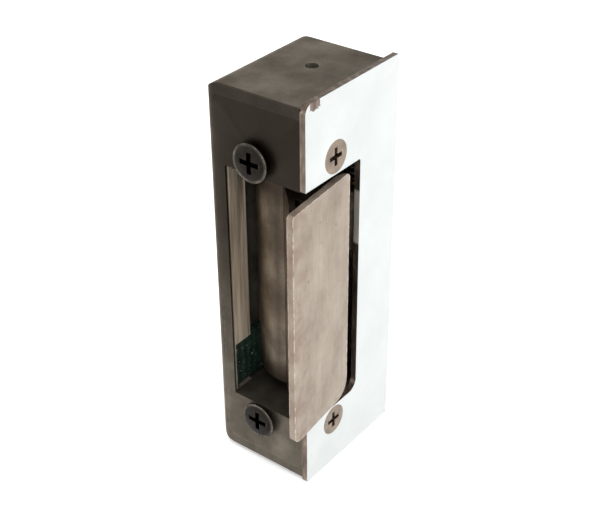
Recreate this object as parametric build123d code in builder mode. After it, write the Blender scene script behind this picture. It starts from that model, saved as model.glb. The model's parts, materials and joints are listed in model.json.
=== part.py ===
from build123d import *
import os
from math import atan2, cos, degrees, radians, sin, sqrt, tan

# An electric door strike: a case that is let into the door frame, with a keeper that swings
# on an upright pin and is blocked by the tapered plunger of a solenoid.
#
# Millimetres.  The origin is the middle of the two faceplate screws, on the front face.
# +Z is up along the strike, +Y runs back into the door frame, and +X points to the side
# where the keeper swings open.

# Case
case_height = 100.0
case_width = 26.5
case_depth = 32.5
case_side_wall = 3.0
case_end_wall = 2.5
case_corner_radius = 4.5
case_front_rounding = 3.0
case_below_centre = 48.6        # from the screws' middle down to the case's lower end
case_left_of_centre = 14.0      # from the screws' plane to the case's left face

# Cover plate on the right side
cover_thickness = 1.5
cover_overhang = 1.1            # past both ends of the case
cover_rear_overhang = 2.1       # past the back of the case
cover_top_corner = 2.2
cover_corner = 0.6
cutout_gap = 0.3                # cut-out's edge beyond the latch pocket's end
cutout_depth = 20.15
cutout_top_corner = 0.6
cutout_low_corner = 2.8

# Front frame, which closes the front and holds the latch pocket
pocket_half = 32.0
block_depth = 22.0
jamb_thickness = 2.5
jamb_depth = 6.6
window_foot = 0.4               # window's lower edge above the pocket's lower end
window_height = 13.6
window_skin = 1.0
post_radius = 2.5
post_end_gap = 0.9              # upper post below the case's top wall
post_side_gap = 1.0             # lower post in from the cover plate
post_floor_gap = 0.6            # lower post above the case's bottom wall
block_corner_gap = 0.3          # how much rounder the block is than the case around it

# Keeper
pivot_from_cover = 12.95        # pin's axis in from the cover plate's outer face
pivot_depth = 19.4
pin_radius = 1.5
pin_recess = 0.8
pin_chamfer = 0.3
pin_seat_depth = 10.0           # pin's length in the lower block
plate_thickness = 1.6
plate_far_edge = 16.2           # depth of the edge beside the cut-out's end
plate_lip = -7.4                # depth of the free lip, in front of the front face
plate_flare = 2.28              # how far the lip stands out past the cover plate
plate_bevel = 3.1               # length of the bevel on the far edge
plate_top_gap = 1.4
plate_low_gap = 0.7
plate_corners = (4.5, 1.5, 1.0, 2.5)    # far low, far top, lip top, lip low
barrel_radius = 13.3
barrel_start = -137.0           # degrees about the pin
barrel_end = -82.0
sheet = 1.5
ramp_sag = 0.62
ramp_end = 0.45                 # ramp's end back from the lip
cradle_top_gap = 3.6
cradle_low_gap = 4.4
ear_thickness = 2.0
ear_front = 2.5
hub_radius = 4.0
spring_zone = (-13.5, 3.5)
tail_bottom = 6.0
tail_top = 21.7
tail_reach = 9.9
tail_back = 6.8                 # tail's rear face behind the pin's axis
tail_front = 2.9                # tail's front corner behind the pin's axis
tail_end = 1.3                  # width of the tail's end face
tail_corner = 1.7               # tail's slanted rear corner, along X
tail_root = 2.0                 # where the tail's rear face begins, right of the pin's axis
tail_bevel = (1.5, 1.8)         # bevel behind the tail's top: back and down
spacer_radius = 3.0

# Solenoid and plunger
plunger_from_cover = 5.8        # plunger's axis in from the cover plate's outer face
plunger_behind_pin = 7.6
plunger_radius = 2.2
plunger_tip_radius = 0.5
plunger_taper = 40.0            # degrees between the cone's side and its axis
plunger_overlap = 1.83          # how far the tip reaches below the tail's top
plunger_length = 16.6
plunger_stroke = 4.0
air_gap = 0.5                   # left between plunger and core at full stroke
clip_radius = 3.2
clip_thickness = 0.8
clip_above_cone = 0.5
plunger_spring_radius = 2.75
plunger_spring_wire = 0.5
plunger_spring_turns = 4
yoke_thickness = 1.0
yoke_height = 19.0
yoke_below_block = 2.5          # yoke's foot below the upper block's underside
yoke_half_width = 4.0
flange_left = 7.15              # flange's end to the left of the pin's axis
flange_height = 9.7
flange_above_pocket = 2.5
bobbin_wall = 0.6
bobbin_flange = 0.8
bobbin_radius = 3.9
winding_radius = 3.7
core_rivet_radius = 1.5
core_rivet_head = 0.25

# Keeper spring
torsion_radius = 3.2
torsion_wire = 0.8
torsion_zone = (-11.0, 2.6)
torsion_turns = 7
torsion_leg = 10.4
torsion_leg_radius = 0.37

# Board, leads and terminals
board_thickness = 1.5
board_front = 1.2
board_rear_gap = 0.2
lead_radius = 0.5
lead_bend = 1.5
lead_heights = (-21.0, -24.0)
lead_exit = 1.2                 # first lead above the bobbin's lower flange
lead_step = 2.2                 # second lead above the first
lead_behind = 1.2               # first lead behind the coil's axis
lead_rank = 1.5                 # second lead behind the first
lead_left = 5.0                 # first lead's drop to the left of the pin's axis
lead_column = 1.3               # second lead's drop to the left of the first
terminal_width = 11.0
terminal_height = 11.1
terminal_pitch = 5.0
terminal_edge = 3.0             # first pole's middle from the block's end
wire_height = 3.0               # wire hole's middle above the case's floor
terminal_screw_height = 8.0
wire_bore_radius = 1.3
terminal_wall = 3.5
clamp_depth = 5.0
clamp_half_width = 1.8
clamp_margin = 2.0              # clamp's ends past its wire hole and its screw
clamp_floor = 1.0               # metal left behind the clamp's holes
terminal_screw = (1.0, 3.6)     # shank radius and length
terminal_head = (1.45, 1.4)     # head radius and height
terminal_slot = (0.5, 0.7)      # slot's width and depth
terminal_access = 1.6           # radius of the screwdriver's way in
diode_radius = 1.1
diode_length = 4.6
diode_span = 8.0
diode_wire = 0.35
diode_clearance = 0.2           # between the diode's body and the board
diode_above_window = 3.2
diode_in_front = 3.0            # diode's middle in front of the block's rear face
diode_bend = 0.6

# Rear cover
rear_cover_thickness = 1.0
rear_window_gap = 0.5

# Fasteners: shank radius, head radius, countersink angle, length
fixing_from_pocket = 3.8        # faceplate screw's axis beyond the pocket's end
fixing_radius = 2.5
fixing_head_radius = 4.7
fixing_head_rim = 0.8
fixing_head_cone = 1.1
fixing_head_dome = 0.3
fixing_cone_width = 1.3         # how much the cone narrows down to the front face
fixing_reach = 12.0
side_from_pocket = 4.6          # cover screw's axis beyond the pocket's end
side_screw_depth = 10.85
side_screw = (2.0, 4.0, 90.0, 10.2)
housing_from_pocket = 9.0
housing_screw_depth = 11.0
housing_screw = (1.5, 2.9, 90.0, 8.0)
small_screw = (1.25, 2.25, 90.0, 8.0)
small_head_height = 1.5
yoke_screw_left = 4.65          # yoke screws' axis to the left of the pin's axis
yoke_screw_pitch = 5.0
rear_screw = (1.25, 2.3, 90.0, 6.0)
fixing_recess = 2.2
recess_size = 1.1               # driver recess across its arms, in head radii
recess_slot = 0.24              # width of an arm as a share of its length
thread_gap = 0.05
screw_chamfer = 0.4

# How far a cut runs past the faces it opens, and a radius too small to see
overcut = 1.0
sharp = 0.01

# Fits
running_fit = 0.06
press_clearance = 0.02
guide_fit = 0.1
side_gap = 0.1
sheet_gap = 0.15

# Places worked out from the sizes above
case_bottom = -case_below_centre
case_top = case_bottom + case_height
case_left = -case_left_of_centre
case_right = case_left + case_width
inner_left = case_left + case_side_wall
inner_bottom = case_bottom + case_end_wall
inner_top = case_top - case_end_wall
cover_outer = case_right + cover_thickness
jamb_face = inner_left + jamb_thickness
window_bottom = -pocket_half + window_foot
window_top = window_bottom + window_height
rear_cover_front = case_depth - rear_cover_thickness
pivot_x = cover_outer - pivot_from_cover
pivot = (pivot_x, pivot_depth)
plate_top = pocket_half - plate_top_gap
plate_bottom = -pocket_half + plate_low_gap
cradle_top = pocket_half - cradle_top_gap
cradle_bottom = -pocket_half + cradle_low_gap
fixing_height = pocket_half + fixing_from_pocket
side_screw_height = pocket_half + side_from_pocket
housing_screw_height = pocket_half + housing_from_pocket
plunger_axis = (cover_outer - plunger_from_cover, pivot_depth + plunger_behind_pin)
plunger_tip = tail_top - plunger_overlap
cone_height = (plunger_radius - plunger_tip_radius) / tan(radians(plunger_taper))
clip_bottom = plunger_tip + cone_height + clip_above_cone
clip_top = clip_bottom + clip_thickness
plunger_top = plunger_tip + plunger_length
core_bottom = plunger_top + plunger_stroke + air_gap
yoke_bottom = pocket_half - yoke_below_block
yoke_top = yoke_bottom + yoke_height
bobbin_bottom = yoke_bottom + yoke_thickness
bobbin_top = yoke_top - yoke_thickness
bobbin_bore = plunger_radius + guide_fit
yoke_screw_x = pivot_x - yoke_screw_left
yoke_screw_middle = pocket_half + flange_height / 2 + flange_above_pocket
board_face = inner_left + board_thickness
terminal_top = inner_bottom + terminal_height
rear_posts = (
    (inner_left + post_radius, inner_top - post_radius - post_end_gap),
    (case_right - post_radius - post_side_gap, inner_bottom + post_radius + post_floor_gap),
)

axis_turns = {"x": (0, 90, 0), "y": (-90, 0, 0), "z": (0, 0, 0)}


def block(x_limits, y_limits, z_limits, mode=Mode.ADD):
    """A box between two limits along each axis."""
    limits = (x_limits, y_limits, z_limits)
    middle = tuple((low + high) / 2 for low, high in limits)
    with Locations(middle):
        Box(*(high - low for low, high in limits), mode=mode)


def rod(axis, start, length, radius, mode=Mode.ADD):
    """A cylinder that leaves its start point along one of the axes."""
    with Locations(Location(start, axis_turns[axis])):
        Cylinder(radius, length, align=(Align.CENTER, Align.CENTER, Align.MIN), mode=mode)


def corner(outline, x_end, y_end):
    """The corner of a sketch at one end (0 or -1) along each of its two directions."""
    return outline.vertices().group_by(Axis.X)[x_end].sort_by(Axis.Y)[y_end]


def rounded_rectangle(outline, x_limits, y_limits, radii):
    """A rectangle in the open sketch, with its own radius at each corner.

    The radii run anticlockwise from the corner where both directions are lowest.
    """
    with Locations(((x_limits[0] + x_limits[1]) / 2, (y_limits[0] + y_limits[1]) / 2)):
        Rectangle(x_limits[1] - x_limits[0], y_limits[1] - y_limits[0])
    for (x_end, y_end), radius in zip(((0, 0), (-1, 0), (-1, -1), (0, -1)), radii):
        fillet(corner(outline, x_end, y_end), radius)


def cross_outline(height, size):
    """The outline of a cross-shaped driver recess, on a level plane at a height."""
    with BuildSketch(Plane.XY.offset(height)) as cross:
        Rectangle(size, size * recess_slot)
        Rectangle(size * recess_slot, size)
    return cross.sketch


def countersunk_screw(shank_radius, head_radius, angle, length):
    """A screw with its flat head at the origin and its shank along -Z."""
    cone = (head_radius - shank_radius) / tan(radians(angle / 2))
    with BuildPart() as screw:
        with BuildSketch(Plane.XZ):
            with BuildLine():
                Polyline(
                    (0, 0),
                    (head_radius, 0),
                    (shank_radius, -cone),
                    (shank_radius, screw_chamfer - length),
                    (shank_radius - screw_chamfer, -length),
                    (0, -length),
                    close=True,
                )
            make_face()
        revolve(axis=Axis.Z)
        extrude(cross_outline(0, head_radius * recess_size), amount=-cone * 0.7, mode=Mode.SUBTRACT)
    return screw.part


def pan_screw(shank_radius, head_radius, head_height, length):
    """A screw whose domed head stands on the origin's plane, with its shank along -Z."""
    with BuildPart() as screw:
        with BuildSketch(Plane.XZ):
            with BuildLine():
                shoulder = (head_radius, head_height * 0.45)
                Polyline(
                    (0, head_height),
                    (0, -length),
                    (shank_radius - screw_chamfer, -length),
                    (shank_radius, screw_chamfer - length),
                    (shank_radius, 0),
                    (head_radius, 0),
                    shoulder,
                )
                ThreePointArc(shoulder, (head_radius * 0.6, head_height * 0.8), (0, head_height))
            make_face()
        revolve(axis=Axis.Z)
        cross = cross_outline(head_height + 0.1, head_radius * recess_size)
        extrude(cross, amount=-head_height * 0.7, mode=Mode.SUBTRACT)
    return screw.part


def screw_set(name, screw, places):
    """Copies of one screw, a separate solid at each place."""
    with BuildPart() as screws:
        with Locations(*places):
            add(screw)
    screws.part.label = name
    return screws


def faces_towards(direction, *points):
    """Planes at the points, facing one direction, for screws and their holes."""
    return [Plane(origin=point, z_dir=direction) for point in points]


front_places = faces_towards((0, -1, 0), (0, 0, -fixing_height), (0, 0, fixing_height))
side_places = faces_towards(
    (1, 0, 0),
    (cover_outer, side_screw_depth, -side_screw_height),
    (cover_outer, side_screw_depth, side_screw_height),
)
housing_places = faces_towards(
    (-1, 0, 0),
    (case_left, housing_screw_depth, -housing_screw_height),
    (case_left, housing_screw_depth, housing_screw_height),
)
yoke_screw_places = faces_towards(
    (0, 1, 0),
    (yoke_screw_x, block_depth + yoke_thickness, yoke_screw_middle - yoke_screw_pitch / 2),
    (yoke_screw_x, block_depth + yoke_thickness, yoke_screw_middle + yoke_screw_pitch / 2),
)
rear_places = faces_towards((0, 1, 0), *((x, case_depth, z) for x, z in rear_posts))


def screw_holes(places, screw):
    """Countersunk holes for a screw, cut into whatever the open part has there."""
    shank_radius, head_radius, angle, length = screw
    with Locations(*places):
        CounterSinkHole(shank_radius + thread_gap, head_radius, length + overcut, angle)


# --- Case ---------------------------------------------------------------------------------

# The case: a channel that is open at the front, the right and the back
with BuildPart() as housing:
    with BuildSketch(Plane.XZ) as channel:
        rounded_rectangle(
            channel,
            (case_left, case_right),
            (case_bottom, case_top),
            (case_corner_radius, sharp, sharp, case_corner_radius),
        )
    extrude(amount=-case_depth)
    with BuildSketch(Plane.XY.offset(case_bottom)) as plan:
        with Locations(((case_left + case_right) / 2, case_depth / 2)):
            Rectangle(case_width, case_depth)
        fillet(corner(plan, 0, 0), case_front_rounding)
    extrude(amount=case_height, mode=Mode.INTERSECT)
    inner_radius = case_corner_radius - case_side_wall
    with BuildSketch(Plane.XZ) as cavity:
        rounded_rectangle(
            cavity,
            (inner_left, case_right + overcut),
            (inner_bottom, inner_top),
            (inner_radius, sharp, sharp, inner_radius),
        )
    extrude(amount=-case_depth, mode=Mode.SUBTRACT)
    rod(
        "z",
        (*pivot, inner_top - overcut),
        case_end_wall + 2 * overcut,
        pin_radius + running_fit,
        Mode.SUBTRACT,
    )
    screw_holes(housing_places, housing_screw)
housing.part.label = "housing"

# The front frame: two cast blocks joined by the jamb at the pocket's left
block_corner = inner_radius + block_corner_gap
with BuildPart() as front_frame:
    with BuildSketch(Plane.XZ) as outline:
        rounded_rectangle(
            outline,
            (inner_left, case_right),
            (inner_bottom, inner_top),
            (block_corner, sharp, sharp, block_corner),
        )
    extrude(amount=-block_depth)
    block(
        (jamb_face, case_right + overcut),
        (-overcut, block_depth + overcut),
        (-pocket_half, pocket_half),
        Mode.SUBTRACT,
    )
    block(
        (inner_left - overcut, jamb_face + overcut),
        (jamb_depth, block_depth + overcut),
        (-pocket_half, pocket_half),
        Mode.SUBTRACT,
    )
    block(
        (inner_left - overcut, jamb_face + overcut),
        (window_skin, block_depth + overcut),
        (window_bottom, window_top),
        Mode.SUBTRACT,
    )
    for post_x, post_z in rear_posts:
        rod("y", (post_x, block_depth, post_z), rear_cover_front - block_depth, post_radius)
    with Locations(*front_places):
        Hole(fixing_radius + thread_gap, fixing_reach + overcut)
        Cone(
            fixing_radius,
            fixing_head_radius - fixing_cone_width,
            fixing_head_cone * (fixing_head_radius - fixing_cone_width - fixing_radius)
            / fixing_cone_width,
            align=(Align.CENTER, Align.CENTER, Align.MAX),
            mode=Mode.SUBTRACT,
        )
    screw_holes(side_places, side_screw)
    screw_holes(housing_places, housing_screw)
    with Locations(*yoke_screw_places):
        Hole(small_screw[0] + thread_gap, small_screw[3])
    screw_holes(rear_places, rear_screw)
    rod(
        "z",
        (*pivot, -pocket_half - pin_seat_depth),
        case_height,
        pin_radius + press_clearance,
        Mode.SUBTRACT,
    )
front_frame.part.label = "front_frame"

# The cover plate, which carries the keeper's cut-out
with BuildPart() as cover_plate:
    with BuildSketch(Plane.YZ.offset(case_right)) as outline:
        rounded_rectangle(
            outline,
            (0, case_depth + cover_rear_overhang),
            (case_bottom - cover_overhang, case_top + cover_overhang),
            (cover_corner, cover_corner, cover_corner, cover_top_corner),
        )
    extrude(amount=cover_thickness)
    cutout_half = pocket_half + cutout_gap
    with BuildSketch(Plane.YZ.offset(case_right)) as opening:
        rounded_rectangle(
            opening,
            (-overcut, cutout_depth),
            (-cutout_half, cutout_half),
            (sharp, cutout_low_corner, cutout_top_corner, sharp),
        )
    extrude(amount=cover_thickness, mode=Mode.SUBTRACT)
    screw_holes(side_places, side_screw)
cover_plate.part.label = "cover_plate"

cover_screws = screw_set("cover_screws", countersunk_screw(*side_screw), side_places)
housing_screws = screw_set("housing_screws", countersunk_screw(*housing_screw), housing_places)

# A raised-head screw for the faceplate: domed face, rim, and a cone that meets its hole's edge
with BuildPart() as raised_screw:
    rim_low = fixing_head_cone
    rim_high = rim_low + fixing_head_rim - fixing_head_dome
    cone_foot = -rim_low * (fixing_head_radius - fixing_cone_width - fixing_radius) / fixing_cone_width
    with BuildSketch(Plane.XZ):
        with BuildLine():
            Polyline(
                (0, rim_high + fixing_head_dome),
                (0, -fixing_reach),
                (fixing_radius - screw_chamfer, -fixing_reach),
                (fixing_radius, screw_chamfer - fixing_reach),
                (fixing_radius, cone_foot),
                (fixing_head_radius, rim_low),
                (fixing_head_radius, rim_high),
            )
            ThreePointArc(
                (fixing_head_radius, rim_high),
                (fixing_head_radius * 0.6, rim_high + fixing_head_dome * 0.64),
                (0, rim_high + fixing_head_dome),
            )
        make_face()
    revolve(axis=Axis.Z)
    cross = cross_outline(rim_high + fixing_head_dome + 0.1, fixing_head_radius * recess_size)
    extrude(cross, amount=-fixing_recess, mode=Mode.SUBTRACT)

faceplate_screws = screw_set("faceplate_screws", raised_screw.part, front_places)

# The rear cover: a thin sheet between the walls, with a window for the terminals
with BuildPart() as rear_cover:
    with BuildSketch(Plane.XZ.offset(-rear_cover_front)) as outline:
        rounded_rectangle(
            outline,
            (inner_left + sheet_gap, case_right - sheet_gap),
            (inner_bottom + sheet_gap, inner_top - sheet_gap),
            (block_corner, cover_corner, cover_corner, block_corner),
        )
    extrude(amount=-rear_cover_thickness)
    block(
        (board_face - rear_window_gap, board_face + terminal_width + rear_window_gap),
        (rear_cover_front - overcut, case_depth + overcut),
        (inner_bottom - overcut, terminal_top + rear_window_gap),
        Mode.SUBTRACT,
    )
    screw_holes(rear_places, rear_screw)
rear_cover.part.label = "rear_cover"

rear_cover_screws = screw_set("rear_cover_screws", countersunk_screw(*rear_screw), rear_places)

# --- Keeper -------------------------------------------------------------------------------

# The plate's outer face runs from the far edge, flush with the cover, out to the lip
far_outer = Vector(cover_outer, plate_far_edge)
lip_outer = Vector(cover_outer + plate_flare, plate_lip)
along_plate = (lip_outer - far_outer).normalized()
into_plate = Vector(along_plate.Y, -along_plate.X)
lip_inner = lip_outer + into_plate * plate_thickness
bevel_inner = far_outer + along_plate * plate_bevel + into_plate * plate_thickness

with BuildPart() as keeper_plate:
    with BuildSketch(Plane.XY.offset(plate_bottom)):
        with BuildLine():
            Polyline(far_outer, lip_outer, lip_inner, bevel_inner, close=True)
        make_face()
    extrude(amount=plate_top - plate_bottom)
    with BuildSketch(Plane.YZ) as outline:
        far_low, far_high, lip_high, lip_low = plate_corners
        rounded_rectangle(
            outline,
            (plate_lip - overcut, plate_far_edge),
            (plate_bottom, plate_top),
            (sharp, far_low, far_high, sharp),
        )
    extrude(amount=cover_outer + plate_flare + overcut, mode=Mode.INTERSECT)
    with BuildSketch(Plane.YZ) as outline:
        rounded_rectangle(
            outline,
            (lip_inner.Y, plate_far_edge + overcut),
            (plate_bottom, plate_top),
            (lip_low, sharp, sharp, lip_high),
        )
    extrude(amount=cover_outer + plate_flare + overcut, mode=Mode.INTERSECT)
keeper_plate.part.label = "keeper_plate"

# The cradle's sheet: a barrel about the pin, a crease, and a hollow ramp out to the lip
ramp_start = Vector(*pivot) + Vector(barrel_radius, 0).rotate(Axis.Z, barrel_end)
ramp_tip = lip_inner - along_plate * ramp_end
ramp_chord = ramp_tip - ramp_start
ramp_radius = (ramp_chord.length**2 / 4 + ramp_sag**2) / (2 * ramp_sag)
towards_latch = Vector(ramp_chord.Y, -ramp_chord.X).normalized()
ramp_centre = (ramp_start + ramp_tip) * 0.5 + towards_latch * (ramp_radius - ramp_sag)


def ramp_angle(point):
    """Degrees about the ramp's centre."""
    return degrees(atan2(point.Y - ramp_centre.Y, point.X - ramp_centre.X))


def reaches_plate(radius):
    """Where a circle about the ramp's centre meets the plate's inner face, near the lip."""
    along = (lip_inner - ramp_centre).dot(along_plate)
    across = (lip_inner - ramp_centre) - along_plate * along
    return lip_inner - along_plate * (sqrt(radius**2 - across.length**2) + along)


def ramp_arc(radius, first, last):
    """An arc of the ramp between two points."""
    return CenterArc(ramp_centre, radius, ramp_angle(first), ramp_angle(last) - ramp_angle(first))


def barrel_arc(radius):
    """An arc of the barrel about the pin."""
    return CenterArc(pivot, radius, barrel_start, barrel_end - barrel_start)


def ear_outline(bottom):
    """The outline of a wall across the cradle, from the hub to the sheet and the plate."""
    front = Vector(
        ramp_centre.X + sqrt(ramp_radius**2 - (ear_front - ramp_centre.Y) ** 2), ear_front
    )
    plate_front = lip_inner - along_plate * ((ear_front - lip_inner.Y) / -along_plate.Y)
    with BuildSketch(Plane.XY.offset(bottom)) as outline:
        with BuildLine():
            barrel = barrel_arc(barrel_radius)
            ramp_arc(ramp_radius, ramp_start, front)
            Polyline(front, plate_front, bevel_inner, pivot, barrel @ 0)
        make_face()
    return outline.sketch


with BuildPart() as keeper_cradle:
    with BuildSketch(Plane.XY.offset(cradle_bottom)):
        with BuildLine():
            barrel_face = barrel_arc(barrel_radius)
            barrel_back = barrel_arc(barrel_radius - sheet)
            ramp_face = ramp_arc(ramp_radius, ramp_start, ramp_tip)
            back_tip = reaches_plate(ramp_radius + sheet)
            back_start = ramp_centre + (ramp_start - ramp_centre).normalized() * (ramp_radius + sheet)
            ramp_back = ramp_arc(ramp_radius + sheet, back_start, back_tip)
            Line(barrel_face @ 0, barrel_back @ 0)
            Line(barrel_back @ 1, ramp_back @ 0)
            Line(ramp_face @ 1, ramp_back @ 1)
        make_face()
    extrude(amount=cradle_top - cradle_bottom)
    for ear_bottom in (
        cradle_bottom,
        spring_zone[0] - ear_thickness,
        spring_zone[1],
        cradle_top - ear_thickness,
    ):
        extrude(ear_outline(ear_bottom), amount=ear_thickness)
    rod("z", (*pivot, cradle_bottom), spring_zone[0] - cradle_bottom, hub_radius)
    rod("z", (*pivot, spring_zone[1]), cradle_top - spring_zone[1], hub_radius)
    with BuildSketch(Plane.XY.offset(tail_bottom)):
        with BuildLine():
            tail_points = (
                (0, 0),
                (hub_radius * cos(radians(25)), -hub_radius * sin(radians(25))),
                (tail_reach, tail_front),
                (tail_reach, tail_front + tail_end),
                (tail_reach - tail_corner, tail_back),
                (tail_root, tail_back),
                (-hub_radius * sin(radians(25)), hub_radius * cos(radians(25))),
            )
            Polyline(*(Vector(*pivot) + Vector(x, y) for x, y in tail_points), close=True)
        make_face()
    extrude(amount=tail_top - tail_bottom)
    with BuildSketch(Plane.YZ.offset(pivot_x - hub_radius)):
        bevel_back = pivot_depth + tail_back
        bevel_depth, bevel_drop = tail_bevel
        with BuildLine():
            Polyline(
                (bevel_back - bevel_depth, tail_top),
                (bevel_back, tail_top - bevel_drop),
                (bevel_back + overcut, tail_top - bevel_drop),
                (bevel_back + overcut, tail_top + overcut),
                (bevel_back - bevel_depth, tail_top + overcut),
                close=True,
            )
        make_face()
    extrude(amount=hub_radius + tail_reach + overcut, mode=Mode.SUBTRACT)
    rod(
        "z",
        (*pivot, cradle_bottom - overcut),
        cradle_top - cradle_bottom + 2 * overcut,
        pin_radius + running_fit,
        Mode.SUBTRACT,
    )
keeper_cradle.part.label = "keeper_cradle"

with BuildPart() as keeper_pin:
    pin_foot = -pocket_half - pin_seat_depth
    rod("z", (*pivot, pin_foot), case_top - pin_recess - pin_foot, pin_radius)
    chamfer(keeper_pin.edges().filter_by(GeomType.CIRCLE), pin_chamfer)
keeper_pin.part.label = "keeper_pin"

with BuildPart() as keeper_spacers:
    for low, high in (
        (-pocket_half, cradle_bottom - side_gap),
        (cradle_top + side_gap, pocket_half),
    ):
        rod("z", (*pivot, low), high - low, spacer_radius)
        rod("z", (*pivot, low), high - low, pin_radius + running_fit, Mode.SUBTRACT)
keeper_spacers.part.label = "keeper_spacers"

# The torsion spring: one leg against the case's wall, the other behind the keeper's sheet
with BuildPart() as keeper_spring:
    with BuildLine() as spring_wire:
        coil = Helix(
            pitch=(torsion_zone[1] - torsion_zone[0]) / (torsion_turns + 0.25),
            height=torsion_zone[1] - torsion_zone[0],
            radius=torsion_radius,
            center=(*pivot, torsion_zone[0]),
        )
    with BuildSketch(Plane(origin=coil @ 0, z_dir=coil % 0)):
        Circle(torsion_wire / 2)
    sweep(path=spring_wire.line, is_frenet=True)
    leg_overlap = torsion_wire
    keeper_leg = (pivot_x + torsion_radius, pivot_depth - torsion_leg, torsion_zone[0])
    rod("y", keeper_leg, torsion_leg + leg_overlap, torsion_leg_radius)
    wall_leg = (inner_left, pivot_depth + torsion_radius, torsion_zone[1])
    rod("x", wall_leg, pivot_x + leg_overlap - inner_left, torsion_leg_radius)
keeper_spring.part.label = "keeper_spring"

# --- Solenoid and plunger -----------------------------------------------------------------

with BuildPart() as solenoid_yoke:
    left = plunger_axis[0] - yoke_half_width
    right = plunger_axis[0] + yoke_half_width
    rear = plunger_axis[1] + yoke_half_width
    block((left, right), (block_depth, block_depth + yoke_thickness), (yoke_bottom, yoke_top))
    block((left, right), (block_depth, rear), (yoke_bottom, bobbin_bottom))
    block((left, right), (block_depth, rear), (bobbin_top, yoke_top))
    block(
        (pivot_x - flange_left, left),
        (block_depth, block_depth + yoke_thickness),
        (yoke_screw_middle - flange_height / 2, yoke_screw_middle + flange_height / 2),
    )
    rod("z", (*plunger_axis, yoke_bottom), yoke_thickness, bobbin_bore, Mode.SUBTRACT)
    rod("z", (*plunger_axis, bobbin_top), yoke_thickness, core_rivet_radius, Mode.SUBTRACT)
    with Locations(*yoke_screw_places):
        Hole(small_screw[0] + guide_fit, yoke_thickness)
solenoid_yoke.part.label = "solenoid_yoke"

yoke_screw = pan_screw(small_screw[0], small_screw[1], small_head_height, small_screw[3])
yoke_screws = screw_set("yoke_screws", yoke_screw, yoke_screw_places)

with BuildPart() as solenoid_bobbin:
    tube_radius = bobbin_bore + bobbin_wall
    rod("z", (*plunger_axis, bobbin_bottom), bobbin_top - bobbin_bottom, tube_radius)
    rod("z", (*plunger_axis, bobbin_bottom), bobbin_flange, bobbin_radius)
    rod("z", (*plunger_axis, bobbin_top - bobbin_flange), bobbin_flange, bobbin_radius)
    rod("z", (*plunger_axis, bobbin_bottom), bobbin_top - bobbin_bottom, bobbin_bore, Mode.SUBTRACT)
solenoid_bobbin.part.label = "solenoid_bobbin"

with BuildPart() as solenoid_winding:
    low = bobbin_bottom + bobbin_flange
    high = bobbin_top - bobbin_flange
    rod("z", (*plunger_axis, low), high - low, winding_radius)
    rod("z", (*plunger_axis, low), high - low, tube_radius, Mode.SUBTRACT)
solenoid_winding.part.label = "solenoid_winding"

# The fixed pole is riveted through the yoke's top
with BuildPart() as solenoid_core:
    rod("z", (*plunger_axis, core_bottom), bobbin_top - core_bottom, plunger_radius)
    rod("z", (*plunger_axis, bobbin_top), yoke_thickness + core_rivet_head, core_rivet_radius)
solenoid_core.part.label = "solenoid_core"

with BuildPart() as plunger:
    rod(
        "z",
        (*plunger_axis, plunger_tip + cone_height),
        plunger_length - cone_height,
        plunger_radius,
    )
    with Locations((*plunger_axis, plunger_tip)):
        Cone(
            plunger_tip_radius,
            plunger_radius,
            cone_height,
            align=(Align.CENTER, Align.CENTER, Align.MIN),
        )
plunger.part.label = "plunger"

with BuildPart() as plunger_clip:
    rod("z", (*plunger_axis, clip_bottom), clip_thickness, clip_radius)
    rod("z", (*plunger_axis, clip_bottom), clip_thickness, plunger_radius, Mode.SUBTRACT)
plunger_clip.part.label = "plunger_clip"

with BuildPart() as plunger_spring:
    spring_low = clip_top + plunger_spring_wire / 2
    spring_high = yoke_bottom - plunger_spring_wire / 2
    with BuildLine() as spring_wire:
        coil = Helix(
            pitch=(spring_high - spring_low) / plunger_spring_turns,
            height=spring_high - spring_low,
            radius=plunger_spring_radius,
            center=(*plunger_axis, spring_low),
        )
    with BuildSketch(Plane(origin=coil @ 0, z_dir=coil % 0)):
        Circle(plunger_spring_wire / 2)
    sweep(path=spring_wire.line, is_frenet=True)
plunger_spring.part.label = "plunger_spring"

# --- Board, leads and terminals -----------------------------------------------------------

with BuildPart() as circuit_board:
    board_rear = rear_cover_front - board_rear_gap
    block(
        (inner_left, board_face),
        (board_front, board_rear),
        (window_bottom + side_gap, window_top - side_gap),
    )
    block(
        (inner_left, board_face),
        (block_depth + side_gap, board_rear),
        (inner_bottom + block_corner, window_top - side_gap),
    )
circuit_board.part.label = "circuit_board"

# Two insulated leads run from the bobbin down the back of the case to the board
with BuildPart() as coil_leads:
    for order, end_height in enumerate(lead_heights):
        start_height = bobbin_bottom + bobbin_flange + lead_exit + lead_step * order
        depth = plunger_axis[1] + lead_behind + lead_rank * order
        drop_x = pivot_x - lead_left - lead_column * order
        start_x = plunger_axis[0] - winding_radius
        start = Vector(start_x, depth, start_height)
        with BuildLine() as route:
            FilletPolyline(
                start,
                Vector(drop_x, depth, start_height),
                Vector(drop_x, depth, end_height),
                Vector(board_face, depth, end_height),
                radius=lead_bend,
            )
        with BuildSketch(Plane(origin=start, z_dir=(-1, 0, 0))):
            Circle(lead_radius)
        sweep(path=route.line)
coil_leads.part.label = "coil_leads"

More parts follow.
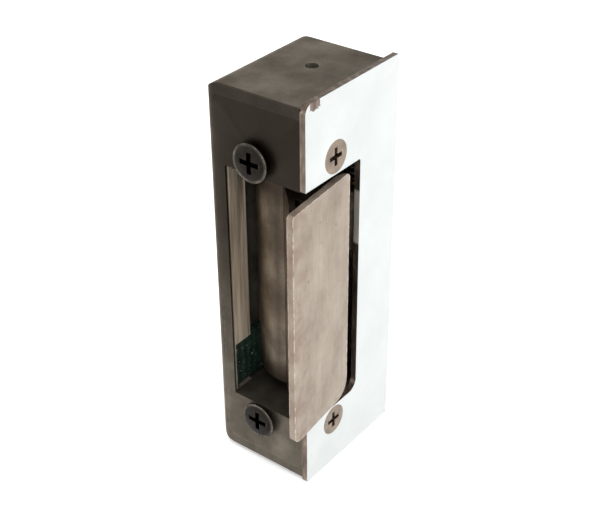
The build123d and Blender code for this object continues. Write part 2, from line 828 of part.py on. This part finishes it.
# The diode across the coil lies on the board on its two wire legs
with BuildPart() as suppressor_diode:
    diode_x = board_face + diode_radius + diode_clearance
    diode_z = window_bottom + diode_above_window
    diode_middle = block_depth - diode_in_front
    rod("y", (diode_x, diode_middle - diode_length / 2, diode_z), diode_length, diode_radius)
    for side in (-1, 1):
        foot = Vector(board_face, diode_middle + side * diode_span / 2, diode_z)
        with BuildLine() as leg:
            FilletPolyline(
                Vector(diode_x, diode_middle + side * diode_length * 0.45, diode_z),
                Vector(diode_x, foot.Y, diode_z),
                foot,
                radius=diode_bend,
            )
        with BuildSketch(Plane(origin=leg.line @ 0, z_dir=(0, side, 0))):
            Circle(diode_wire)
        sweep(path=leg.line)
suppressor_diode.part.label = "suppressor_diode"

poles = [board_face + terminal_edge + order * terminal_pitch for order in range(2)]
clamp_rear = case_depth - terminal_wall
clamp_low = inner_bottom + wire_height - clamp_margin
clamp_high = inner_bottom + terminal_screw_height + clamp_margin

with BuildPart() as terminal_block:
    block(
        (board_face, board_face + terminal_width),
        (block_depth, case_depth),
        (inner_bottom, terminal_top),
    )
    for pole in poles:
        block(
            (pole - clamp_half_width - side_gap, pole + clamp_half_width + side_gap),
            (clamp_rear - clamp_depth - side_gap, clamp_rear),
            (clamp_low - side_gap, clamp_high + side_gap),
            Mode.SUBTRACT,
        )
        rod(
            "y",
            (pole, clamp_rear - overcut, inner_bottom + wire_height),
            terminal_wall + 2 * overcut,
            wire_bore_radius,
            Mode.SUBTRACT,
        )
        rod(
            "y",
            (pole, clamp_rear - overcut, inner_bottom + terminal_screw_height),
            terminal_wall + 2 * overcut,
            terminal_access,
            Mode.SUBTRACT,
        )
terminal_block.part.label = "terminal_block"

with BuildPart() as terminal_clamps:
    for pole in poles:
        block(
            (pole - clamp_half_width, pole + clamp_half_width),
            (clamp_rear - clamp_depth, clamp_rear),
            (clamp_low, clamp_high),
        )
        rod(
            "y",
            (pole, clamp_rear - clamp_depth + clamp_floor, inner_bottom + wire_height),
            clamp_depth,
            wire_bore_radius,
            Mode.SUBTRACT,
        )
        rod(
            "y",
            (pole, clamp_rear - clamp_depth + clamp_floor, inner_bottom + terminal_screw_height),
            clamp_depth,
            terminal_screw[0] + thread_gap,
            Mode.SUBTRACT,
        )
terminal_clamps.part.label = "terminal_clamps"

with BuildPart() as terminal_screws:
    for pole in poles:
        height = inner_bottom + terminal_screw_height
        head_radius, head_height = terminal_head
        shank_radius, shank_length = terminal_screw
        slot_width, slot_depth = terminal_slot
        rod("y", (pole, clamp_rear, height), head_height, head_radius)
        rod("y", (pole, clamp_rear - shank_length, height), shank_length, shank_radius)
        block(
            (pole - head_radius, pole + head_radius),
            (clamp_rear + head_height - slot_depth, clamp_rear + head_height),
            (height - slot_width / 2, height + slot_width / 2),
            Mode.SUBTRACT,
        )
terminal_screws.part.label = "terminal_screws"

# --- Output -------------------------------------------------------------------------------

pieces = (
    housing,
    front_frame,
    cover_plate,
    cover_screws,
    faceplate_screws,
    housing_screws,
    keeper_plate,
    keeper_cradle,
    keeper_pin,
    keeper_spacers,
    keeper_spring,
    solenoid_yoke,
    yoke_screws,
    solenoid_bobbin,
    solenoid_winding,
    solenoid_core,
    plunger,
    plunger_clip,
    plunger_spring,
    coil_leads,
    circuit_board,
    suppressor_diode,
    terminal_block,
    terminal_clamps,
    terminal_screws,
    rear_cover,
    rear_cover_screws,
)
os.makedirs("parts", exist_ok=True)
for piece in pieces:
    export_step(piece.part, f"parts/{piece.part.label}.step")
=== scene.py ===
import bmesh
import bpy
import json
from math import cos, radians, sin, tau
from mathutils import Matrix, Vector


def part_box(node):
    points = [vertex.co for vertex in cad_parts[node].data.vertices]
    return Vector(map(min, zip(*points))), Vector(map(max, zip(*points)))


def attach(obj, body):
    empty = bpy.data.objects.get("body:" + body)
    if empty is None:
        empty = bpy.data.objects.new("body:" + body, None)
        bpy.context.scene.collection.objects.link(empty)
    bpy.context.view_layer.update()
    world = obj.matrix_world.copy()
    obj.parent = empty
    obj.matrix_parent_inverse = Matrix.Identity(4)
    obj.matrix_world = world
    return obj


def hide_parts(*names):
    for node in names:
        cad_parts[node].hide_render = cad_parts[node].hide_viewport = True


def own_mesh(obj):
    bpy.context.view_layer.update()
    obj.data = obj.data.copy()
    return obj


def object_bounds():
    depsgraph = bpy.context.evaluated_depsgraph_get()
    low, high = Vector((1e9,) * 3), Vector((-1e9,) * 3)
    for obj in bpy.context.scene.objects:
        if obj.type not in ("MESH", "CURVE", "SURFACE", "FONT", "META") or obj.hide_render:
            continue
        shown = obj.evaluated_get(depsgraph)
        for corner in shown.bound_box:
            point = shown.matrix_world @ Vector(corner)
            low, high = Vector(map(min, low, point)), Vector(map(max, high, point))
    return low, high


# Looks of the electric door strike: softened edges on every piece, and worn metal, paint,
# plastic and board finishes.  Metres, in the frame of the model.

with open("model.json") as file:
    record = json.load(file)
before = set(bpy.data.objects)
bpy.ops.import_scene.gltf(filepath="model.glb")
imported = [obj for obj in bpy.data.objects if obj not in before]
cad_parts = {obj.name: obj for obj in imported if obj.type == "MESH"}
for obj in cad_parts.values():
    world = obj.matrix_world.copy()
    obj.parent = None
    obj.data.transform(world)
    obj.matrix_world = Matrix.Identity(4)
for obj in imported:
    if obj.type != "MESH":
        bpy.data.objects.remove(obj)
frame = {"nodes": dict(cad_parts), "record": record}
start_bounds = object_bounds()

MM = 0.001
nodes = frame["nodes"]
bodies = {
    "keeper": ("keeper_plate", "keeper_cradle"),
    "plunger": ("plunger", "plunger_clip"),
}


def body_of(node):
    """The body that carries a node."""
    for body, members in bodies.items():
        if node in members:
            return body
    return "case"


# Places that the finishes follow
case_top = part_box("housing")[1].z
pocket_half = 32.0 * MM
jamb_face = frame["record"]["physics"]["openings"][0]["box_m"][0][0]
face_screw_height = 35.8 * MM

# The radii of the two wires that are wound here, and the turns of the plunger's spring
winding_wire = 0.14 * MM
spring_wire = 0.25 * MM
spring_turns = 4

# --- Finishes -----------------------------------------------------------------------------


class Finish:
    """A material built from noise in object coordinates, on one principled shader."""

    def __init__(self, name, metallic=0.0, roughness=0.5):
        self.material = bpy.data.materials.new(name)
        self.material.use_nodes = True
        self.tree = self.material.node_tree
        self.shader = self.tree.nodes["Principled BSDF"]
        self.shader.inputs["Metallic"].default_value = metallic
        self.shader.inputs["Roughness"].default_value = roughness
        self.coords = self.tree.nodes.new("ShaderNodeTexCoord").outputs["Object"]

    def node(self, kind, **values):
        """A new node of the material, with its settings."""
        made = self.tree.nodes.new(kind)
        for key, value in values.items():
            setattr(made, key, value)
        return made

    def link(self, source, target):
        self.tree.links.new(source, target)

    def stretched(self, stretch):
        """Object coordinates scaled along each axis."""
        mapping = self.node("ShaderNodeMapping")
        mapping.inputs["Scale"].default_value = stretch
        self.link(self.coords, mapping.inputs["Vector"])
        return mapping.outputs["Vector"]

    def noise(self, size_mm, detail=4.0, stretch=(1, 1, 1)):
        """Soft noise whose features are about size_mm across."""
        made = self.node("ShaderNodeTexNoise")
        made.inputs["Scale"].default_value = 1.0 / (size_mm * MM)
        made.inputs["Detail"].default_value = detail
        made.inputs["Roughness"].default_value = 0.55
        self.link(self.stretched(stretch), made.inputs["Vector"])
        return made.outputs["Fac"]

    def ramp(self, value, stops):
        """A colour ramp: stops are (place, colour)."""
        made = self.node("ShaderNodeValToRGB")
        elements = made.color_ramp.elements
        while len(elements) < len(stops):
            elements.new(0.5)
        for element, (place, colour) in zip(elements, stops):
            element.position = place
            element.color = (*colour, 1.0)
        self.link(value, made.inputs["Fac"])
        return made.outputs["Color"]

    def band(self, value, low, high, out_low=0.0, out_high=1.0):
        """A value mapped from one range to another, kept within it."""
        made = self.node("ShaderNodeMapRange")
        for socket, number in (
            ("From Min", low),
            ("From Max", high),
            ("To Min", out_low),
            ("To Max", out_high),
        ):
            made.inputs[socket].default_value = number
        self.link(value, made.inputs["Value"])
        return made.outputs["Result"]

    def axis(self, letter):
        """One object coordinate, in metres."""
        made = self.node("ShaderNodeSeparateXYZ")
        self.link(self.coords, made.inputs[0])
        return made.outputs[letter]

    def math(self, operation, first, second=None):
        """A sum worked on values: each is a socket or a number."""
        made = self.node("ShaderNodeMath", operation=operation)
        for socket, value in zip(made.inputs, (first, second)):
            if value is None:
                continue
            if isinstance(value, (int, float)):
                socket.default_value = value
            else:
                self.link(value, socket)
        return made.outputs[0]

    def mix(self, share, first, second):
        """Two colours mixed: each is a socket or a colour."""
        made = self.node("ShaderNodeMix", data_type="RGBA")
        share_socket, first_socket, second_socket = (made.inputs[place] for place in (0, 6, 7))
        for socket, value in ((share_socket, share), (first_socket, first), (second_socket, second)):
            if isinstance(value, (int, float)):
                socket.default_value = value
            elif isinstance(value, tuple):
                socket.default_value = (*value, 1.0)
            else:
                self.link(value, socket)
        return made.outputs[2]

    def colour(self, source):
        self.link(source, self.shader.inputs["Base Color"])

    def roughness(self, source):
        self.link(source, self.shader.inputs["Roughness"])

    def bump(self, height, depth_mm, strength=1.0):
        """Relief from a height, on top of any relief that is there already."""
        made = self.node("ShaderNodeBump")
        made.inputs["Strength"].default_value = strength
        made.inputs["Distance"].default_value = depth_mm * MM
        self.link(height, made.inputs["Height"])
        if self.shader.inputs["Normal"].links:
            self.link(self.shader.inputs["Normal"].links[0].from_socket, made.inputs["Normal"])
        self.link(made.outputs["Normal"], self.shader.inputs["Normal"])

    def worn_edges(self, under, bare, width_mm=0.35):
        """The colour under, with bare metal where edges are rubbed."""
        bevel = self.node("ShaderNodeBevel", samples=6)
        bevel.inputs["Radius"].default_value = width_mm * MM
        geometry = self.node("ShaderNodeNewGeometry")
        facing = self.node("ShaderNodeVectorMath", operation="DOT_PRODUCT")
        self.link(bevel.outputs["Normal"], facing.inputs[0])
        self.link(geometry.outputs["Normal"], facing.inputs[1])
        edge = self.band(facing.outputs["Value"], 0.995, 0.93)
        patchy = self.band(self.noise(1.6, 5), 0.42, 0.6)
        return self.mix(self.math("MULTIPLY", edge, patchy), under, bare)


def cast_metal(name, dark, mid, light, metallic, roughness, shaded=None):
    """Mottled, handled metal: broad stains, fine grain, thin scratches and rubbed edges.

    shaded is a function that is given the finish and its colour, and returns a new colour.
    """
    made = Finish(name, metallic, roughness)
    made.shader.inputs["Specular IOR Level"].default_value = 0.25
    made.shader.inputs["Specular Tint"].default_value = (1.0, 0.87, 0.72, 1.0)
    stains = made.ramp(made.noise(9, 6), ((0.3, dark), (0.5, mid), (0.72, light)))
    grain = made.noise(0.35, 3)
    grained = made.mix(made.band(grain, 0.35, 0.7, 0.0, 0.45), stains, dark)
    scratch = made.band(made.noise(0.5, 2, (1, 1, 0.04)), 0.66, 0.7)
    scratched = made.mix(made.math("MULTIPLY", scratch, 0.35), grained, light)
    worn = made.worn_edges(scratched, light)
    made.colour(shaded(made, worn) if shaded else worn)
    made.roughness(made.band(made.noise(5, 5), 0.3, 0.7, roughness - 0.09, roughness + 0.12))
    made.bump(grain, 0.02, 0.6)
    made.bump(made.noise(3.2, 4), 0.05, 0.5)
    return made.material


def painted_dark_top(made, colour, share=1.0):
    """Painted reflection: metal nearly black at the top of the object and paler towards its foot."""
    upwards = made.band(made.axis("Z"), -45 * MM, 15 * MM, 0.0, 0.97 * share)
    return made.mix(upwards, colour, (0.006, 0.0035, 0.002))


def painted_lit_jamb(made, colour):
    """Metal with the painted reflection, and painted light on the jamb inside the pocket: pale streaks in
    place of the light that falls on it.
    """
    deep = made.band(made.axis("Y"), 0.5 * MM, 0.9 * MM)
    height = made.math("ABSOLUTE", made.axis("Z"))
    in_pocket = made.band(height, pocket_half - 0.3 * MM, pocket_half - 0.6 * MM)
    beside = made.band(made.axis("X"), jamb_face + 0.3 * MM, jamb_face)
    on_jamb = made.math("MULTIPLY", made.math("MULTIPLY", deep, in_pocket), beside)
    # Painted light: pale streaked colours on the jamb inside the pocket
    streaks = made.ramp(
        made.noise(0.9, 4, (1, 1, 0.04)),
        ((0.3, (0.42, 0.35, 0.27)), (0.5, (0.76, 0.67, 0.54)), (0.75, (0.9, 0.82, 0.7))),
    )
    return made.mix(on_jamb, painted_dark_top(made, colour), streaks)


def painted_dark_top_front(made, colour):
    """A case whose front edges carry the same painted reflection as the block between them, nearly black at
    the top.
    """
    front = made.band(made.axis("Y"), 0.8 * MM, 0.4 * MM)
    return made.mix(front, colour, painted_dark_top(made, colour, 0.9))


def cradle_painted_light(made, colour):
    """Painted light on a dark cradle: one paler upright band as a painted reflection, and painted shade
    darkest at its two ends.
    """
    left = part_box("keeper_cradle")[0].x
    across = made.band(made.axis("X"), left, left + 16 * MM)
    # Painted reflection: light and dark upright bands across the cradle
    bands = made.ramp(
        across,
        (
            (0.15, (0.5, 0.5, 0.5)),
            (0.3, (1.0, 1.0, 1.0)),
            (0.4, (0.9, 0.9, 0.9)),
            (0.6, (0.2, 0.2, 0.2)),
            (0.85, (0.6, 0.6, 0.6)),
        ),
    )
    # Painted shade towards both ends of the cradle
    ends = made.band(made.math("ABSOLUTE", made.axis("Z")), 26 * MM, 21 * MM, 0.15, 1.0)
    share = made.math("MULTIPLY", bands, ends)
    return made.mix(share, (0.025, 0.018, 0.013), colour)


def white_paint():
    """White enamel on the outer face alone, over bare brown metal, with specks and a chip."""
    made = Finish("white_paint", 0.0, 0.36)
    clean = made.ramp(made.noise(14, 4), ((0.35, (0.44, 0.465, 0.46)), (0.65, (0.475, 0.495, 0.49))))
    speck = made.band(made.noise(1.1, 2), 0.735, 0.75)
    specked = made.mix(made.math("MULTIPLY", speck, 0.5), clean, (0.33, 0.33, 0.33))
    bare = made.ramp(
        made.noise(1.7, 5, (1, 1, 0.3)),
        ((0.35, (0.07, 0.045, 0.032)), (0.55, (0.14, 0.1, 0.075)), (0.75, (0.3, 0.24, 0.19))),
    )
    # The top edge has lost its paint in one place near the front
    ragged = made.band(made.noise(1.2, 4), 0.3, 0.7, -0.5 * MM, 0.7 * MM)
    height = made.axis("Z")
    depth = made.axis("Y")
    near_top = made.band(made.math("ADD", height, ragged), case_top - 0.75 * MM, case_top - 0.65 * MM)
    near_front = made.band(made.math("ADD", depth, ragged), 5.2 * MM, 5.0 * MM)
    behind_corner = made.band(depth, 1.4 * MM, 1.8 * MM)
    chip = made.math("MULTIPLY", made.math("MULTIPLY", near_top, near_front), behind_corner)
    normal = made.node("ShaderNodeSeparateXYZ")
    made.link(made.coords.node.outputs["Normal"], normal.inputs[0])
    painted = made.band(normal.outputs["X"], 0.6, 0.75)
    # A bright upright strip on the far edge of the cut-out, paler than bare metal is: a painted highlight
    above = made.band(height, 9.6 * MM, 10.2 * MM)
    below = made.band(height, 24.2 * MM, 23.6 * MM)
    behind = made.band(depth, 19.4 * MM, 19.8 * MM)
    before = made.band(depth, 20.7 * MM, 20.4 * MM)
    highlight_strip = made.math("MULTIPLY", made.math("MULTIPLY", above, below), made.math("MULTIPLY", behind, before))
    bare = made.mix(highlight_strip, bare, (0.95, 0.85, 0.75))
    coat = made.math("MULTIPLY", painted, made.math("SUBTRACT", 1.0, chip))
    made.colour(made.mix(coat, bare, specked))
    uncoated = made.math("SUBTRACT", 0.75, made.math("MULTIPLY", coat, 0.75))
    made.link(uncoated, made.shader.inputs["Metallic"])
    made.roughness(made.band(made.noise(2.5, 3), 0.3, 0.7, 0.28, 0.44))
    made.bump(made.noise(0.9, 2), 0.02, 0.35)
    made.bump(coat, 0.06, 0.7)
    made.shader.inputs["Coat Weight"].default_value = 0.2
    return made.material


def keeper_steel():
    """Satin beige steel with faint upright streaks, soft stains and small dark pits."""
    made = Finish("keeper_steel", 0.55, 0.42)
    base = made.ramp(
        made.noise(7, 6, (1, 1, 0.45)),
        ((0.28, (0.185, 0.145, 0.105)), (0.5, (0.27, 0.22, 0.17)), (0.75, (0.33, 0.275, 0.215))),
    )
    streak = made.band(made.noise(0.6, 4, (1, 1, 0.035)), 0.35, 0.7, 0.0, 0.35)
    streaked = made.mix(streak, base, (0.18, 0.145, 0.11))
    near_lip = made.band(made.axis("Y"), 2.0 * MM, -4.0 * MM)
    patchy = made.band(made.noise(4, 5), 0.4, 0.62, 0.0, 0.75)
    stained = made.mix(made.math("MULTIPLY", near_lip, patchy), streaked, (0.19, 0.13, 0.095))
    pit = made.band(made.noise(1.0, 1), 0.745, 0.76)
    pitted = made.mix(made.math("MULTIPLY", pit, 0.6), stained, (0.05, 0.04, 0.033))
    made.colour(made.worn_edges(pitted, (0.62, 0.5, 0.45), 0.3))
    made.roughness(made.band(made.noise(2.2, 5), 0.3, 0.7, 0.34, 0.52))
    made.bump(made.noise(0.6, 4, (1, 1, 0.04)), 0.01, 0.5)
    made.bump(pit, -0.05, 0.7)
    return made.material


def turned_metal(name, colour, shade, roughness, centre_height=None):
    """Machined metal.  With a height, the brushing runs round the two faceplate screws, and their rims are
    made paler as a painted highlight.
    """
    made = Finish(name, 1.0, roughness)
    if centre_height is None:
        rings = made.noise(0.25, 3, (1, 1, 1))
    else:
        height = made.math("SUBTRACT", made.math("ABSOLUTE", made.axis("Z")), centre_height)
        angle = made.math("ARCTAN2", height, made.axis("X"))
        spokes = made.node("ShaderNodeTexNoise", noise_dimensions="1D")
        spokes.inputs["Scale"].default_value = 9.0
        spokes.inputs["Detail"].default_value = 5.0
        made.link(angle, spokes.inputs["W"])
        rings = spokes.outputs["Fac"]
        offset = made.node("ShaderNodeCombineXYZ")
        made.link(made.axis("X"), offset.inputs["X"])
        made.link(height, offset.inputs["Z"])
        radius = made.node("ShaderNodeVectorMath", operation="LENGTH")
        made.link(offset.outputs["Vector"], radius.inputs[0])
        # Painted highlight: a paler ring at the rim of each screw head
        rim_highlight = made.band(radius.outputs["Value"], 3.9 * MM, 4.5 * MM, 0.0, 0.8)
        colour = made.mix(rim_highlight, colour, (0.2, 0.17, 0.14))
    stains = made.noise(2.6, 5)
    base = made.mix(made.band(stains, 0.35, 0.7), colour, shade)
    made.colour(made.mix(made.band(rings, 0.35, 0.7, 0.0, 0.6), base, shade))
    made.roughness(made.band(rings, 0.3, 0.7, roughness - 0.1, roughness + 0.12))
    made.bump(rings, 0.012, 0.5)
    return made.material


def moulded(name, colour, shade, roughness, grain_mm=0.4):
    """Moulded plastic with a fine grain and slight clouding."""
    made = Finish(name, 0.0, roughness)
    made.colour(made.mix(made.band(made.noise(4, 5), 0.3, 0.7), colour, shade))
    made.roughness(made.band(made.noise(1.5, 3), 0.3, 0.7, roughness - 0.08, roughness + 0.1))
    made.bump(made.noise(grain_mm, 2), 0.012, 0.5)
    return made.material


def wound_wire():
    """Enamelled copper wire: close turns as fine ridges along the coil, with painted shade darkening the
    colour in the groove between turns.
    """
    made = Finish("winding", 0.8, 0.3)
    turns = made.math("SINE", made.math("MULTIPLY", made.axis("Z"), tau / (2 * winding_wire)))
    # Painted shade: the copper colour follows the ridges, darkest in each groove
    made.colour(made.mix(made.band(turns, -1, 1), (0.16, 0.035, 0.012), (0.6, 0.2, 0.07)))
    made.roughness(made.band(made.noise(1, 3), 0.3, 0.7, 0.22, 0.4))
    made.bump(turns, 0.06, 0.8)
    return made.material


def board_green():
    """A circuit board: dark green solder mask, buried tracks and tiny pale specks."""
    made = Finish("board_green", 0.0, 0.3)
    tracks = made.node("ShaderNodeTexBrick")
    tracks.inputs["Scale"].default_value = 1.0 / (9 * MM)
    tracks.inputs["Mortar Size"].default_value = 0.05
    made.link(made.coords, tracks.inputs["Vector"])
    mask = made.mix(tracks.outputs["Fac"], (0.012, 0.03, 0.022), (0.026, 0.055, 0.04))
    speck = made.band(made.noise(0.55, 1), 0.72, 0.73)
    made.colour(made.mix(speck, mask, (0.55, 0.6, 0.55)))
    made.roughness(made.band(made.noise(2, 3), 0.3, 0.7, 0.22, 0.42))
    made.bump(tracks.outputs["Fac"], 0.03, 0.5)
    return made.material


finishes = {
    "case_steel": cast_metal(
        "case_steel",
        (0.046, 0.041, 0.033),
        (0.096, 0.086, 0.069),
        (0.165, 0.148, 0.122),
        0.6,
        0.42,
        painted_dark_top_front,
    ),
    "cast_zinc": cast_metal(
        "cast_zinc",
        (0.052, 0.045, 0.035),
        (0.1, 0.088, 0.07),
        (0.175, 0.155, 0.127),
        0.55,
        0.4,
        painted_lit_jamb,
    ),
    "cradle_steel": cast_metal(
        "cradle_steel",
        (0.07, 0.053, 0.037),
        (0.19, 0.15, 0.11),
        (0.4, 0.33, 0.25),
        0.7,
        0.4,
        cradle_painted_light,
    ),
    "white_paint": white_paint(),
    "nickel_screw": turned_metal("nickel_screw", (0.28, 0.215, 0.165), (0.14, 0.112, 0.088), 0.34),
    "black_screw": turned_metal(
        "black_screw", (0.006, 0.005, 0.004), (0.018, 0.015, 0.012), 0.26, face_screw_height
    ),
    "keeper_steel": keeper_steel(),
    "pin_steel": turned_metal("pin_steel", (0.45, 0.44, 0.42), (0.28, 0.27, 0.25), 0.28),
    "brass": turned_metal("brass", (0.6, 0.42, 0.16), (0.36, 0.24, 0.09), 0.32),
    "spring_steel": turned_metal("spring_steel", (0.4, 0.4, 0.39), (0.22, 0.21, 0.2), 0.3),
    "yoke_steel": turned_metal("yoke_steel", (0.42, 0.42, 0.4), (0.27, 0.265, 0.25), 0.4),
    "bobbin_plastic": moulded("bobbin_plastic", (0.75, 0.7, 0.56), (0.66, 0.6, 0.46), 0.45),
    "winding": wound_wire(),
    "lead_insulation": moulded("lead_insulation", (0.42, 0.03, 0.025), (0.33, 0.02, 0.02), 0.4),
    "board_green": board_green(),
    "diode_black": moulded("diode_black", (0.012, 0.012, 0.014), (0.03, 0.03, 0.034), 0.35),
    "terminal_plastic": moulded("terminal_plastic", (0.03, 0.15, 0.06), (0.022, 0.11, 0.045), 0.5),
}
slots = {entry["node"]: entry["material_slot"] for entry in frame["record"]["subparts"]}

# --- Pieces -------------------------------------------------------------------------------

edge_width = {
    "housing": 0.2,
    "front_frame": 0.08,
    "cover_plate": 0.22,
    "keeper_plate": 0.35,
    "keeper_cradle": 0.3,
    "terminal_block": 0.2,
    "rear_cover": 0.12,
}
plain_edge = 0.08
merge_distance = 0.0005 * MM
smooth_below = radians(32)
bevel_above = radians(38)


def refined(node):
    """A joined-up copy of a node's solid, with its edges softly rounded."""
    mesh = nodes[node].data.copy()
    work = bmesh.new()
    work.from_mesh(mesh)
    bmesh.ops.remove_doubles(work, verts=work.verts, dist=merge_distance)
    for face in work.faces:
        face.smooth = True
    work.to_mesh(mesh)
    work.free()
    mesh.set_sharp_from_angle(angle=smooth_below)
    piece = bpy.data.objects.new("piece_" + node, mesh)
    bpy.context.collection.objects.link(piece)
    bevel = piece.modifiers.new("soft_edges", "BEVEL")
    bevel.width = edge_width.get(node, plain_edge) * MM
    bevel.segments = 3 if node in edge_width else 2
    bevel.limit_method = "ANGLE"
    bevel.angle_limit = bevel_above
    bevel.use_clamp_overlap = True
    bevel.harden_normals = True
    mesh.materials.clear()
    mesh.materials.append(finishes[slots[node]])
    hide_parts(node)
    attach(piece, body_of(node))
    return piece


def coil_tree():
    """Geometry nodes that sweep a round wire along a helix."""
    tree = bpy.data.node_groups.new("coil_of_wire", "GeometryNodeTree")
    tree.interface.new_socket("Geometry", in_out="OUTPUT", socket_type="NodeSocketGeometry")
    for label, kind in (
        ("Turns", "NodeSocketFloat"),
        ("Radius", "NodeSocketFloat"),
        ("Height", "NodeSocketFloat"),
        ("Wire", "NodeSocketFloat"),
        ("Steps", "NodeSocketInt"),
        ("Sides", "NodeSocketInt"),
        ("Material", "NodeSocketMaterial"),
    ):
        tree.interface.new_socket(label, in_out="INPUT", socket_type=kind)
    made = tree.nodes.new
    given = made("NodeGroupInput").outputs
    spiral = made("GeometryNodeCurveSpiral")
    wire = made("GeometryNodeCurvePrimitiveCircle")
    sweep = made("GeometryNodeCurveToMesh")
    sweep.inputs["Fill Caps"].default_value = True
    paint = made("GeometryNodeSetMaterial")
    realize = made("GeometryNodeRealizeInstances")
    result = made("NodeGroupOutput").inputs
    for source, target in (
        (given["Turns"], spiral.inputs["Rotations"]),
        (given["Radius"], spiral.inputs["Start Radius"]),
        (given["Radius"], spiral.inputs["End Radius"]),
        (given["Height"], spiral.inputs["Height"]),
        (given["Steps"], spiral.inputs["Resolution"]),
        (given["Wire"], wire.inputs["Radius"]),
        (given["Sides"], wire.inputs["Resolution"]),
        (spiral.outputs[0], sweep.inputs["Curve"]),
        (wire.outputs["Curve"], sweep.inputs["Profile Curve"]),
        (sweep.outputs[0], realize.inputs[0]),
        (realize.outputs[0], paint.inputs["Geometry"]),
        (given["Material"], paint.inputs["Material"]),
        (paint.outputs[0], result["Geometry"]),
    ):
        tree.links.new(source, target)
    return tree


def coil_of_wire(tree, node, wire_radius, turns, steps, sides):
    """A coil that fills a node's box, as a finished piece."""
    low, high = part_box(node)
    host = bpy.data.objects.new("coil_host", bpy.data.meshes.new("coil_host"))
    bpy.context.collection.objects.link(host)
    modifier = host.modifiers.new("coil_of_wire", "NODES")
    modifier.node_group = tree
    values = {
        "Turns": float(turns),
        "Radius": (high.x - low.x) / 2 - wire_radius,
        "Height": high.z - low.z - 2 * wire_radius,
        "Wire": wire_radius,
        "Steps": steps,
        "Sides": sides,
        "Material": finishes[slots[node]],
    }
    for item in tree.interface.items_tree:
        if item.in_out == "INPUT":
            modifier[item.identifier] = values[item.name]
    shape = host.evaluated_get(bpy.context.evaluated_depsgraph_get())
    mesh = bpy.data.meshes.new_from_object(shape)
    bpy.data.objects.remove(host)
    middle = (low + high) / 2
    mesh.transform(Matrix.Translation((middle.x, middle.y, low.z + wire_radius)))
    for face in mesh.polygons:
        face.use_smooth = True
    piece = bpy.data.objects.new("coil_" + node, mesh)
    bpy.context.collection.objects.link(piece)
    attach(piece, body_of(node))
    return piece


wire_tree = coil_tree()

# The plunger's spring, swept as a coil of wire, with a mesh of its own
spring = coil_of_wire(wire_tree, "plunger_spring", spring_wire, spring_turns, steps=28, sides=10)
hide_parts("plunger_spring")
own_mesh(spring)

# The coil's outer layer of wire lies over the plain tube, which is drawn in to carry it
winding_low, winding_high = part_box("solenoid_winding")
turns = (winding_high.z - winding_low.z) / (2 * winding_wire) - 1
coil_of_wire(wire_tree, "solenoid_winding", winding_wire, turns, steps=40, sides=6)

for name in nodes:
    if name == "plunger_spring":
        continue
    piece = refined(name)
    if name == "solenoid_winding":
        middle = (winding_low + winding_high) / 2
        outer = (winding_high.x - winding_low.x) / 2
        for vertex in piece.data.vertices:
            away = Vector((vertex.co.x - middle.x, vertex.co.y - middle.y, 0))
            if away.length > 0.95 * outer:
                vertex.co -= away.normalized() * winding_wire

# --- Studio -------------------------------------------------------------------------------

floor_mesh = bpy.data.meshes.new("floor")
floor_size = 3.0
floor_level = start_bounds[0][2]
floor_mesh.from_pydata(
    [
        (-floor_size, -floor_size, floor_level),
        (floor_size, -floor_size, floor_level),
        (floor_size, floor_size, floor_level),
        (-floor_size, floor_size, floor_level),
    ],
    [],
    [(0, 1, 2, 3)],
)
floor = bpy.data.objects.new("floor", floor_mesh)
bpy.context.collection.objects.link(floor)
paper = Finish("paper", 0.0, 0.9)
paper.shader.inputs["Emission Color"].default_value = (1.0, 1.0, 1.0, 1.0)
paper.shader.inputs["Emission Strength"].default_value = 0.3
paper.colour(paper.mix(paper.band(paper.noise(30, 3), 0.3, 0.7), (0.93, 0.93, 0.93), (0.95, 0.95, 0.95)))
floor_mesh.materials.append(paper.material)

target = Vector((0.001, 0.016, 0.0014))
lamp_distance = 0.7


def area_light(name, azimuth, elevation, size, power):
    """A soft box that faces the object from a direction given like the camera's."""
    data = bpy.data.lights.new(name, "AREA")
    data.shape = "RECTANGLE"
    data.size, data.size_y = size
    data.energy = power
    lamp = bpy.data.objects.new(name, data)
    bpy.context.collection.objects.link(lamp)
    away = Vector(
        (
            sin(radians(azimuth)) * cos(radians(elevation)),
            -cos(radians(azimuth)) * cos(radians(elevation)),
            sin(radians(elevation)),
        )
    )
    lamp.location = target + away * lamp_distance
    lamp.rotation_euler = away.to_track_quat("Z", "Y").to_euler()
    return lamp


lamps = [
    area_light("key", 105, 32, (0.45, 0.45), 3.4),
    area_light("top", 20, 80, (0.6, 0.6), 2.5),
    area_light("left", -40, 10, (0.3, 0.5), 1.6),
]

world = bpy.data.worlds.new("studio")
bpy.context.scene.world = world
world.use_nodes = True
background = world.node_tree.nodes["Background"]
background.inputs["Color"].default_value = (1.0, 1.0, 1.0, 1.0)
background.inputs["Strength"].default_value = 0.75

# The camera looks down on the front and the right side
lens_length = 73.66
camera_distance = 0.29036
aside, downwards = 0.00182, 0.000385
azimuth, elevation, roll = radians(38.01), radians(32.70), radians(-0.61)
back = Vector((sin(azimuth) * cos(elevation), -cos(azimuth) * cos(elevation), sin(elevation)))
level_right = Vector((cos(azimuth), sin(azimuth), 0))
level_up = back.cross(level_right)
right = level_right * cos(roll) + level_up * sin(roll)
up = level_up * cos(roll) - level_right * sin(roll)
camera_data = bpy.data.cameras.new("camera")
camera_data.sensor_width = 36.0
camera_data.lens = lens_length
camera_data.clip_start = 0.01
camera = bpy.data.objects.new("camera", camera_data)
bpy.context.collection.objects.link(camera)
eye = target + back * camera_distance - right * aside - up * downwards
camera.matrix_world = Matrix((
    (right.x, up.x, back.x, eye.x),
    (right.y, up.y, back.y, eye.y),
    (right.z, up.z, back.z, eye.z),
    (0, 0, 0, 1),
))
bpy.context.scene.camera = camera
bpy.context.scene.view_settings.view_transform = "Standard"
